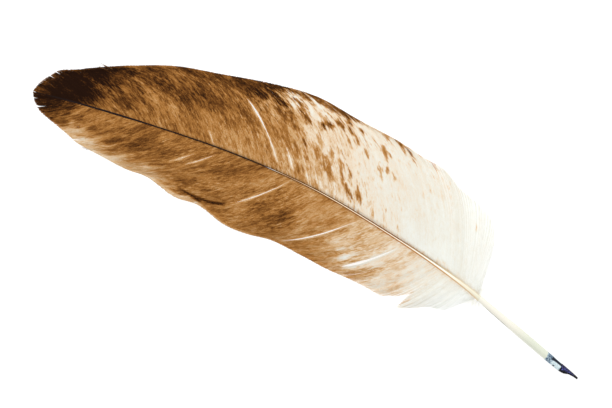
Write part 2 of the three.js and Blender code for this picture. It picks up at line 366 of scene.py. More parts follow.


# Barrel: ivory horn, with a painted highlight that makes its lower side paler and a painted
# shadow line at its lower edge, a stain and then ink on the nib. Its map
# gives how far round a place is from the nib's back, and how far it is before the point.
def makeBarrelFinish():
    finish = Finish("barrelHorn")
    places = finish.node("UVMap", {"uv_map": "barrelMap"}, {})
    around = finish.node("SeparateXYZ", {}, {0: places}, output="X")
    before = finish.node("SeparateXYZ", {}, {0: places}, output="Y")
    clouds = finish.grain(places, (0.7, 0.5, 1), 4.0, 0.6)
    specks = finish.grain(places, (2.0, 1.3, 1), 3.0, 0.6)
    scuffs = finish.grain(places, (4.0, 0.3, 1), 3.0, 0.6)

    def within(value, low, high, soft):  # 1 between low and high
        return finish.step(value, low - soft, low) * finish.step(value, high + soft, high)

    def tint(colour, share, red, green, blue):
        return finish.mix(share, colour, display(red, green, blue))

    ivory = tint(display(230, 226, 213), finish.step(before, 44, 26), 209, 213, 196)
    ivory = tint(ivory, finish.step(scuffs, 0.45, 0.8) * 0.5, 226, 223, 208)
    # painted highlight: the barrel's lower side is painted paler
    colour = tint(ivory, finish.step(around, -1.2, -2.0) * 0.6, 236, 236, 226)
    yellowed = within(around, 0.7, 1.3, 0.5) * finish.step(clouds, 0.5, 0.66) * 0.4
    colour = tint(colour, yellowed, 216, 208, 168)
    nick = within(around, 0.85, 1.1, 0.25) * within(before, 29.6, 30.6, 0.5) * 0.6
    colour = tint(colour, nick, 196, 172, 118)
    # painted shadow: a grey line along the barrel's lower edge
    paintedEdgeShadow = within(around, -2.5, -1.8, 0.12) * within(before, 45, 53, 6) * (0.3 + clouds)
    colour = tint(colour, paintedEdgeShadow, 132, 132, 124)

    past = before + (clouds - 0.5) * 2.2
    colour = tint(colour, finish.step(past, 18.8, 18.2), 206, 222, 224)
    colour = tint(colour, within(past, 15.6, 18.2, 0.5) * (0.35 + specks * 0.8), 112, 138, 158)
    darkSpecks = within(past, 15.2, 18.2, 0.5) * finish.step(specks, 0.44, 0.56) * 0.85
    colour = tint(colour, darkSpecks, 50, 70, 94)
    wiped = within(past, 15.2, 17.6, 0.4) * finish.step(scuffs, 0.56, 0.64) * 0.8
    colour = tint(colour, wiped, 198, 214, 220)
    colour = tint(colour, within(past, 10, 15.6, 0.6) * finish.step(specks, 0.5, 0.62) * 0.6, 118, 156, 186)
    colour = tint(colour, within(around, -0.6, 0.3, 0.2) * within(past, 10, 15.4, 0.8), 20, 26, 42)
    drop = within(around, -2.5, -1.9, 0.15) * within(before, 13, 13.8, 0.3) * 0.85
    colour = tint(colour, drop, 50, 56, 70)

    ink = finish.step(before + (clouds - 0.5) * 2.0, 10.2, 9.8)
    # painted highlight: patches of blue-violet shine on the ink
    paintedShine = finish.step(specks, 0.5, 0.6) * within(around, -1.5, 0.2, 0.5) * within(before, 3, 9, 1)
    inkColour = tint(display(5, 5, 13), paintedShine * 0.9, 98, 102, 186)
    colour = finish.mix(ink, colour, inkColour)
    relief = scuffs * 0.3 + ink * 0.7
    bump = finish.node("Bump", {}, {"Height": relief, "Strength": 0.3, "Distance": 0.0001})
    surface = {
        "Base Color": colour, "Roughness": 0.45 - ink * 0.1 + (scuffs - 0.5) * 0.2, "Normal": bump,
        "Specular IOR Level": 0.22,
    }
    return closeFinish(finish.node("BsdfPrincipled", {}, surface))


# Vanes

# What both vanes share, in mm where it isn't a share.
vaneShape = {
    "locks": 40,  # bundles of barbs, each with a crest
    "ridge": 0.32,  # how high a lock's crest stands over its valley
    "rootHeight": 0.6,  # over the shaft's middle, as a share of its half depth
    "arch": 1.8,  # power by which a vane drops from the shaft to its edge
    "flatFrom": 0.9,  # share of a barb beyond which it lies flat
    "edgeThick": 0.35,
    "press": 0.15,  # how far the edge's lower side would sink into the surface
    "wave": 1.1,  # how far the edges lift off the surface
    "waveLength": 74,
    # between these x the narrow vane's edge turns up outside a crease
    "curl": {"from": 74, "to": 110, "crease": 0.9, "dip": 0.8, "lift": 2.2},
    "leastHeight": 0.12,
    "steepest": 1.5,  # slope from barb to barb
    "tilt": 0.1,  # of each barb over its neighbour
    "halfThick": 0.08,  # of a barb, at most
    "unevenHeight": 0.025,
    "unevenWidth": 0.08,  # as a share
    "sway": 0.35,  # sideways, of neighbouring barbs together
    "scatter": 0.3,  # sideways, of each barb
    "toneChange": 0.05,  # from barb to barb
    "streakReach": 2.6,  # of the streaks beside the shaft
    "streakTone": 0.24,
    "rootTone": 0.13,  # the barbs are no paler than this beside the shaft
}


def edgeHeight(x):
    wave = vaneShape["wave"] * np.sin(np.pi * x / vaneShape["waveLength"]) ** 4
    return vaneShape["edgeThick"] / 2 - vaneShape["press"] + wave


# Middle height of a vane, at a share t along barbs with these roots and tips.
def vaneHeight(side, rootX, tipX, t):
    shaftHeight = onShaft(rootX)[..., 2] + vaneShape["rootHeight"] * readOff(shaft["halfDepth"], rootX)
    edge = edgeHeight(tipX)
    fall = np.minimum(1, t / vaneShape["flatFrom"]) ** vaneShape["arch"]
    arched = edge + (shaftHeight - edge) * (1 - fall)
    if side > 0:
        return arched
    curl = vaneShape["curl"]
    inCurl = np.clip((tipX - curl["from"]) / (curl["to"] - curl["from"]), 0, 1)
    share = np.sin(np.pi * inCurl) ** 2
    dip = np.maximum(0, 1 - np.abs(t - curl["crease"]) / curl["crease"]) ** 3
    rise = np.maximum(0, (t - curl["crease"]) / (1 - curl["crease"]))
    return arched + share * (curl["lift"] * rise - curl["dip"] * dip)


def inOutline(x, y, outline):  # True where a place is inside a closed outline
    inside = np.zeros(x.shape, bool)
    for (x0, y0), (x1, y1) in zip(outline, outline[1:] + outline[:1]):
        crosses = (y0 > y) != (y1 > y)
        inside ^= crosses & (x < (x1 - x0) * (y - y0) / (y1 - y0 + 1e-9) + x0)
    return inside


# Places along barbs seen from above, [barb, row, xy], for shares t that are [barb, row]. A
# barb runs from its root towards its bend, and turns there towards its tip.
def barbPlaces(vane, lines, t):
    root = onShaft(lines[:, 0])[:, None, :2]
    tip = lines[:, None, 1:]
    bends = np.array(vane["bend"])
    bendX, bendY, pull = (np.interp(lines[:, 0], bends[:, 0], bends[:, k])[:, None] for k in (1, 2, 3))
    bend = root + (tip - root) * np.stack([bendX, bendY], axis=2)
    weights = np.stack([(1 - t) ** 2, 2 * t * (1 - t) * pull, t**2], axis=2)
    weights /= weights.sum(axis=2, keepdims=True)
    return weights[..., :1] * root + weights[..., 1:2] * bend + weights[..., 2:] * tip


# Each barb's length as a share: it stops at a notch, and its end is a little uneven.
def barbReach(vane, lines, rng):
    t = np.tile(np.linspace(0, 1, 240), (len(lines), 1))
    seen = barbPlaces(vane, lines, t)
    reach = np.ones(len(lines))
    for notch in vane["notches"]:
        inside = inOutline(seen[..., 0], seen[..., 1], notch)
        first = np.where(inside.any(axis=1), t[0][inside.argmax(axis=1)], 1)
        reach = np.minimum(reach, first)
    uneven = readOff(vane["uneven"], lines[:, 0])
    return reach * (1 - uneven * np.abs(rng.normal(0, 1, len(lines)))) + vane["past"]


# How far barbs are pushed sideways, in mm, where the vane has come apart, and a share that
# is 1 on the barbs that line such a split and 0 away from it.
def openSplits(vane, lines, t, pitch):
    number = np.arange(len(lines))
    push, lining = np.zeros(t.shape), np.zeros(t.shape)
    for rootX, start, end, width, reach in vane["splits"]:
        offset = (number[:, None] - np.interp(rootX, lines[:, 0], number) + 0.01) * pitch
        share = np.clip((t - start) / (min(end, 1) - start), 0, 1)
        arc = np.sin(np.pi * share)
        opening = share if end > 1 else arc  # a split past the barb's end stays open there
        push += np.sign(offset) * width / 2 * opening * np.exp(-np.abs(offset) / reach)
        if end < 1:
            lining = np.maximum(lining, arc**0.5 * np.exp(-((offset / 0.55) ** 2)))
    return push, lining


def distanceTo(line, x, y):  # from places to a line through points
    nearest = np.full(x.shape, np.inf)
    for (x0, y0), (x1, y1) in zip(line, line[1:]):
        dx, dy = x1 - x0, y1 - y0
        share = np.clip(((x - x0) * dx + (y - y0) * dy) / (dx * dx + dy * dy), 0, 1)
        nearest = np.minimum(nearest, np.hypot(x - x0 - share * dx, y - y0 - share * dy))
    return nearest


# What is painted on the barbs at each place: the ground's tone, the flecks' tone and how
# much they cover. Washes run along the vane beside the shaft, in the middle and beside the
# edge. Marks are dark or pale strokes laid along the barbs.
def paintVane(vane, places, along, lines):
    x, y = places[..., 0], places[..., 1]
    side = vane["side"]
    order = np.argsort(lines[:, 1])
    edgeY = np.interp(x, lines[order, 1], lines[order, 2])
    shaftY = onShaft(x)[..., 1]
    out = np.clip(side * (y - shaftY) / np.maximum(0.5, side * (edgeY - shaftY)), 0, 1)

    def wash(name, column):
        rows = np.array(vane["washes"][name])
        return np.interp(x, rows[:, 0], rows[:, column])

    paint = []
    for column in (1, 2, 3):
        inner = blend(wash("shaft", column), wash("middle", column), out * 2)
        outer = blend(wash("middle", column), wash("edge", column), out * 2 - 1)
        paint.append(np.where(out < 0.5, inner, outer))
    ground, flecks, cover = paint
    band = {name: readOff(rows, x) for name, rows in vane["band"].items()}
    inBand = 1 - smoothStep(band["width"] * 0.5, band["width"] * 1.3 + 0.01, side * (edgeY - y))
    flecks = blend(flecks, band["tone"], inBand)
    cover = blend(cover, band["cover"], inBand)
    besideShaft = np.exp(-((side * (y - shaftY) / vaneShape["streakReach"]) ** 2))
    streaked = besideShaft * readOff(vane["streaks"], x)
    cover = blend(cover, 0.5, streaked)
    flecks = blend(flecks, vaneShape["streakTone"], streaked)
    ground = np.maximum(ground, vaneShape["rootTone"] * besideShaft)
    for kind, fullCover in (("pale", 0), ("dark", 0.9)):
        for markX, markY, length, wide, tone in vane[kind]:
            dx, dy = x - markX, y - markY
            lengthways = dx * along[..., 0] + dy * along[..., 1]
            sideways = dy * along[..., 0] - dx * along[..., 1]
            stroke = np.exp(-((2 * lengthways / length) ** 2) - (2 * sideways / wide) ** 2)
            cover = blend(cover, fullCover, stroke)
            if kind == "pale":
                ground = blend(ground, tone, stroke)
            else:
                flecks = blend(flecks, tone, stroke)
    # painted shade: the lines of the folds are painted dark
    for line, wide, tone in vane["shadedFolds"]:
        stroke = np.exp(-((2 * distanceTo(line, x, y) / wide) ** 2))
        ground, flecks = blend(ground, tone, stroke), blend(flecks, tone, stroke)
    return ground, flecks, cover


def makeVane(name, vane, finish):
    rng = np.random.default_rng(vane["seed"])
    count, rows = vane["barbs"], vane["rows"]
    number = np.arange(count)[:, None]
    lines = smoothRows(vane["lines"], count)
    thin, blunt, loose = (readOff(vane[kind], lines[:, :1]) for kind in ("thin", "blunt", "loose"))
    reach = barbReach(vane, lines, rng)
    share = 1 - (1 - np.linspace(0, 1, rows + 1)) ** 1.2  # rows lie closer near the end
    t = reach[:, None] * share

    # the vane seen from above, before it comes apart
    seen = barbPlaces(vane, lines, t)
    along = np.gradient(seen, axis=1)
    rowLength = np.linalg.norm(along, axis=2)
    along /= rowLength[..., None]
    left = np.stack([-along[..., 1], along[..., 0]], axis=2)
    toNext = np.gradient(seen, axis=0)
    pitch = (toNext * left).sum(axis=2)
    ground, flecks, cover = paintVane(vane, seen, along, lines)

    push, lining = openSplits(vane, lines, t, pitch)
    # painted light: the barbs that line a split are painted paler, as if light showed through the gap
    ground *= 1 - 0.5 * lining
    flecks *= 1 - 0.5 * lining
    sway = drift(rng, count, 90)[:, None] * vaneShape["sway"]
    sway += rng.normal(0, vaneShape["scatter"], (count, 1))
    push += sway * np.abs(pitch) * loose * share**1.5
    flat = seen + left * push[..., None]

    crest = 0.5 - 0.5 * np.cos(2 * np.pi * vaneShape["locks"] * number / (count - 1))
    height = vaneHeight(vane["side"], lines[:, :1], lines[:, 1:2], t)
    height = np.maximum(height, vaneShape["leastHeight"])
    height += vaneShape["ridge"] * crest * np.sin(np.pi * np.minimum(0.5, 1.5 * t))
    slope = np.gradient(height, axis=1) / rowLength
    lean = (np.gradient(height, axis=0) - slope * (toNext * along).sum(axis=2)) / pitch
    lean = np.clip(lean, -vaneShape["steepest"], vaneShape["steepest"])  # the vane's own slope
    height += vaneShape["unevenHeight"] * rng.normal(0, 1, (count, 1)) * share * (1 + 2 * loose)
    centre = np.concatenate([flat, height[..., None]], axis=2)

    body = 1 + (blunt - 1) * smoothStep(0.9, 1.0, share)
    halfWidth = np.abs(pitch) * 0.5 * vane["overlap"] * body * thin
    halfWidth *= 1 + vaneShape["unevenWidth"] * rng.normal(0, 1, (count, 1))
    halfThick = np.minimum(vaneShape["halfThick"], 0.01 + 0.6 * halfWidth)
    made = makeStrands(name, count, rows)
    layStrands(made, centre, halfWidth, halfThick, lean + vaneShape["tilt"])

    mesh, strand, row, side, top = made
    barbTone = (rng.normal(0, 0.5, count) + drift(rng, count, 200)) * vaneShape["toneChange"]
    ground *= 1 + 1.6 * barbTone[:, None]
    for paint, numbers in (("ground", ground), ("flecks", flecks), ("cover", cover)):
        addNumbers(mesh, paint, numbers[strand, row])
    addNumbers(mesh, "ridge", np.maximum(top, 0))
    steps = np.linalg.norm(np.diff(seen, axis=1, prepend=seen[:, :1]), axis=2)
    length = np.cumsum(steps, axis=1) + rng.uniform(-0.5, 0.5, count)[:, None]
    addMap(mesh, "barbMap", lines[strand, 0] + side * 0.2, length[strand, row])
    bakeAlong = 0.01 + 0.98 * t[strand, row] / reach.max() + top * 0.003
    addMap(mesh, "OFBake", (strand + 0.5 + side * 0.45) / count, bakeAlong)
    print(name, "has", count, "barbs and", len(mesh.polygons) * 2, "triangles")
    addPiece(name, mesh, finish)


broadVane = {
    "side": 1,
    "seed": 11,
    "barbs": 620,
    "rows": 36,
    "overlap": 1.2,
    "past": 0.004,
    # each row is one barb: x of its root on the shaft, x of its tip, y of its tip
    "lines": [
        (2, -1, 0.9), (8, -0.6, 3.2), (16, 0.4, 6.9), (25, 2.7, 10.8), (36, 6, 15.7), (50, 14, 20.5),
        (64, 25, 27.5), (80, 38, 35), (100, 56, 44.1), (125, 77, 50.8), (150, 101, 58.1), (172, 124, 62.8),
        (192, 147, 62.2), (208, 169, 62), (218, 184, 60.6), (223, 195, 60.2), (228, 207, 55.6),
        (232, 219, 53.2), (235, 229.5, 47.5), (237, 235.2, 35), (238.5, 237, 19),
    ],
    # x of a barb's root, how far along x and y to its tip its bend sits, pull of the bend
    "bend": [
        (0, 0.5, 0.8, 1), (25, 0.5, 0.9, 1), (60, 0.45, 1.05, 1.1), (125, 0.48, 0.87, 1.1),
        (172, 0.46, 0.93, 1.1), (208, 0.46, 0.85, 1), (223, 0.45, 0.78, 1), (238, 0.5, 0.73, 1),
    ],
    # root x of the barb, start and end along it, widest opening, how far barbs give way
    "splits": [
        (125, 0.03, 0.66, 0.34, 1.8), (125, 0.36, 0.67, 0.62, 2.5), (133, 0.03, 0.26, 0.26, 1.6),
        (90.5, -0.02, 0.16, 0.2, 1.2), (26, 0.87, 1.01, 0.45, 0.8), (32.5, 0.9, 1.01, 0.6, 0.9),
    ],
    "notches": [],
    "uneven": [(0, 0.02), (30, 0.012), (60, 0.003), (200, 0.003), (225, 0.01), (238, 0.03)],
    "loose": [(0, 0.15), (40, 0.15), (200, 0.15), (218, 0.7), (238, 1.6)],
    "thin": [(0, 1), (205, 1), (225, 0.85), (238, 0.55)],
    "blunt": [(0, 0.5), (40, 0.8), (60, 1.3), (200, 1.3), (215, 0.7), (238, 0.4)],
    "look": {
        "shift": (0, 0, 0), "clouds": (0.1, 0.06, 1), "blotches": (0.26, 0.12, 1),
        "streaks": (0.85, 0.15, 1), "ragged": 1.6, "fine": 2.4,
    },
    # x, tone of the ground, tone of the flecks, share that they cover
    "washes": {
        "shaft": [
            (0, 0.84, 0.9, 0.3), (5, 1.0, 1, 0), (9, 1.2, 1.2, 0), (22, 1.2, 1.2, 0.2), (27, 0.66, 1, 0.5),
            (33, 0.42, 0.68, 0.35), (45, 0.4, 0.6, 0.4), (60, 0.4, 0.58, 0.4), (75, 0.4, 0.56, 0.35),
            (95, 0.32, 0.44, 0.35), (115, 0.28, 0.43, 0.4), (126, 0.25, 0.45, 0.5),
            (136, 0.25, 0.39, 0.45), (144, 0.2, 0.34, 0.42), (156, 0.13, 0.28, 0.3), (166, 0.1, 0.32, 0.2),
            (182, 0.08, 0.24, 0), (200, 0.055, 0.18, -0.2), (228, 0.05, 0.1, -0.2), (240, 0.03, 0.1, -0.2),
        ],
        "middle": [
            (0, 0.8, 0.9, 0.3), (5, 1, 1, 0), (9, 1.2, 1.2, 0), (22, 1.2, 1.2, 0.2), (28, 0.8, 1.05, 0.5),
            (34, 0.58, 0.86, 0.5), (45, 0.56, 0.76, 0.5), (60, 0.5, 0.7, 0.5), (75, 0.48, 0.7, 0.5),
            (85, 0.42, 0.6, 0.42), (95, 0.36, 0.58, 0.4), (105, 0.32, 0.54, 0.35), (115, 0.31, 0.48, 0.4),
            (125, 0.22, 0.39, 0.32), (135, 0.14, 0.29, 0.15), (145, 0.12, 0.26, 0.1), (155, 0.1, 0.24, 0),
            (165, 0.09, 0.22, -0.05), (180, 0.085, 0.19, -0.1), (200, 0.075, 0.12, 0),
            (215, 0.06, 0.07, 0), (228, 0.055, 0.06, 0), (240, 0.04, 0.04, 0),
        ],
        "edge": [
            (0, 0.72, 0.84, 0.4), (4, 0.86, 0.96, 0.3), (12, 1.05, 1.1, 0.3), (22, 1.05, 1.1, 0.5),
            (30, 0.84, 1.04, 0.5), (36, 0.7, 0.92, 0.5), (45, 0.62, 0.86, 0.5), (60, 0.58, 0.8, 0.5),
            (75, 0.58, 0.82, 0.5), (88, 0.58, 0.82, 0.5), (98, 0.46, 0.82, 0.5), (106, 0.24, 0.78, 0.5),
            (114, 0.12, 0.62, 0.4), (124, 0.12, 0.5, 0.3), (138, 0.13, 0.42, 0.2), (148, 0.12, 0.36, 0.1),
            (158, 0.1, 0.3, 0), (168, 0.08, 0.34, -0.1), (182, 0.09, 0.24, -0.1), (200, 0.075, 0.14, 0),
            (215, 0.055, 0.065, 0), (228, 0.045, 0.05, 0), (240, 0.035, 0.04, 0),
        ],
    },
    "band": {  # along the edge
        "width": [
            (0, 1.6), (10, 1.2), (74, 1.1), (84, 2.6), (104, 2.7), (114, 2.7), (132, 3.3), (145, 2.8),
            (150, 1), (170, 0.8), (200, 0),
        ],
        "tone": [
            (0, 0.62), (6, 0.68), (16, 0.82), (25, 0.8), (34, 0.52), (60, 0.48), (74, 0.54), (86, 0.78),
            (104, 0.84), (114, 0.7), (146, 0.7), (150, 0.4), (190, 0.3),
        ],
        "cover": [(0, 0.85), (74, 0.9), (88, 0.75), (112, 0.85), (144, 0.8), (149, 0.3), (200, 0)],
    },
    "streaks": [(186, 0), (196, 0.9), (224, 0.8), (238, 0.4)],  # fine ones beside the shaft
    # x, y, length along the barbs, width across them, tone
    "pale": [
        (55, 24, 12, 5, 0.34), (66, 23, 12, 5, 0.36), (40, 22, 6, 3, 0.44), (44, 29, 8, 1.4, 0.42),
        (57, 38, 9, 1.6, 0.46), (66, 41, 9, 1.4, 0.48), (75, 30, 10, 3, 0.42), (84, 28, 12, 5, 0.38),
        (91, 46, 9, 1.4, 0.44), (97, 48.5, 8, 1.4, 0.4), (104, 49, 7, 1.6, 0.24), (107, 47, 8, 1.6, 0.3),
        (113.5, 57.8, 11, 2.8, 0.04), (124, 59.9, 9, 1.4, 0.05), (115, 53.8, 6, 1.8, 0.07),
        (124, 55.6, 10, 2.6, 0.08), (131, 57.6, 9, 2.2, 0.09), (128, 45.5, 9, 6, 0.13),
        (120, 42, 9, 3, 0.22), (138, 48, 13, 6, 0.14), (147, 48.5, 13, 6, 0.13), (150, 59, 11, 2.4, 0.08),
        (157, 55, 13, 7, 0.09), (160, 42, 18, 9, 0.1), (137.5, 26, 6, 1.1, 0.1), (139.6, 25, 5, 0.9, 0.11),
        (132.8, 31.5, 7, 0.8, 0.2), (145, 25.6, 6, 1.1, 0.09), (148.5, 24.6, 5, 1.1, 0.1),
        (152, 27, 8, 1.6, 0.1), (118, 29, 9, 1.2, 0.2), (142, 27, 7, 1, 0.1),
    ],
    "dark": [
        (43, 16, 8, 5, 0.66), (30, 12, 5, 2.6, 0.84), (50, 35, 14, 6, 0.8), (60, 45, 14, 4, 0.78),
        (70, 42, 15, 4, 0.8), (77, 39, 12, 3, 0.66), (68, 31, 12, 3, 0.7), (35, 28, 10, 6, 0.79),
        (32, 23, 8, 5, 0.83), (80, 48, 15, 5, 0.78), (88, 51.5, 14, 4, 0.8), (85, 36, 14, 4, 0.58),
        (98, 37, 11, 4, 0.64), (103, 36, 9, 4, 0.56), (95, 52, 12, 5, 0.88), (102, 54, 10, 4, 0.9),
        (106, 52.6, 7, 2.2, 0.88), (100, 51, 8, 2, 0.88), (110.5, 52.4, 8, 1.6, 0.84),
        (117, 55.9, 8, 1.3, 0.72), (121.5, 52.2, 9, 1.9, 0.84), (126.5, 50.2, 8, 1.3, 0.72),
        (111, 48.6, 8, 1.6, 0.7), (118.5, 46.5, 9, 3.6, 0.58), (113, 46.4, 7, 2, 0.62),
        (133, 51.7, 4, 2.8, 0.86), (136, 53.3, 4, 2.6, 0.86), (138.6, 56.2, 4, 1.6, 0.56),
        (141.5, 55.4, 6, 1.4, 0.62), (145.8, 55.6, 6, 1.3, 0.6), (144, 58.5, 5, 1.6, 0.66),
        (151, 57.8, 4, 1.5, 0.6), (151.5, 52.3, 5, 1.5, 0.5), (155.5, 54, 5, 1.2, 0.42),
        (147, 51, 6, 1.5, 0.4), (158, 49, 5, 1.3, 0.38), (165, 54.8, 7, 2.0, 0.46),
        (168.5, 54, 4, 1.4, 0.42), (166.5, 45.6, 4, 2.2, 0.38), (170.5, 46.5, 4.4, 2.4, 0.4),
        (175.5, 44.8, 4.4, 1.6, 0.3), (168, 51, 8, 1, 0.3), (169.3, 43, 8, 1.1, 0.28),
        (128.8, 40, 5, 1.4, 0.64), (135.5, 44, 6, 3, 0.28), (143, 41.8, 5, 2.2, 0.4),
        (136, 38.5, 8, 2.6, 0.48), (142, 36, 9, 5, 0.46), (146, 33, 9, 3.2, 0.48), (150, 38, 8, 1.8, 0.44),
        (152.5, 33.5, 8, 1.6, 0.46), (155, 37, 8, 1.8, 0.44), (115, 37.5, 5, 2, 0.58),
        (122, 33.5, 4, 2, 0.62), (133, 33.8, 6, 2, 0.54), (131.8, 27, 5, 1.3, 0.6),
        (134, 28, 5, 1.3, 0.54), (126, 36, 7, 2, 0.5), (120, 37, 8, 3, 0.48), (158, 28.6, 8, 2, 0.66),
        (160.8, 26.8, 5, 1.9, 0.6), (162.3, 31.5, 6, 1.4, 0.42), (165.8, 27, 5, 1.8, 0.64),
        (163.5, 28.5, 5, 1.2, 0.42), (173, 26, 5, 1.4, 0.28), (188, 24, 5, 1.6, 0.2),
        (170, 61.2, 11, 1.6, 0.6), (176.5, 59.7, 10, 1.5, 0.64), (190, 59.4, 10, 1.4, 0.36),
        (163, 61, 9, 1.2, 0.34), (222, 42.5, 5, 1.4, 0.17),
    ],
    "shadedFolds": [],
}

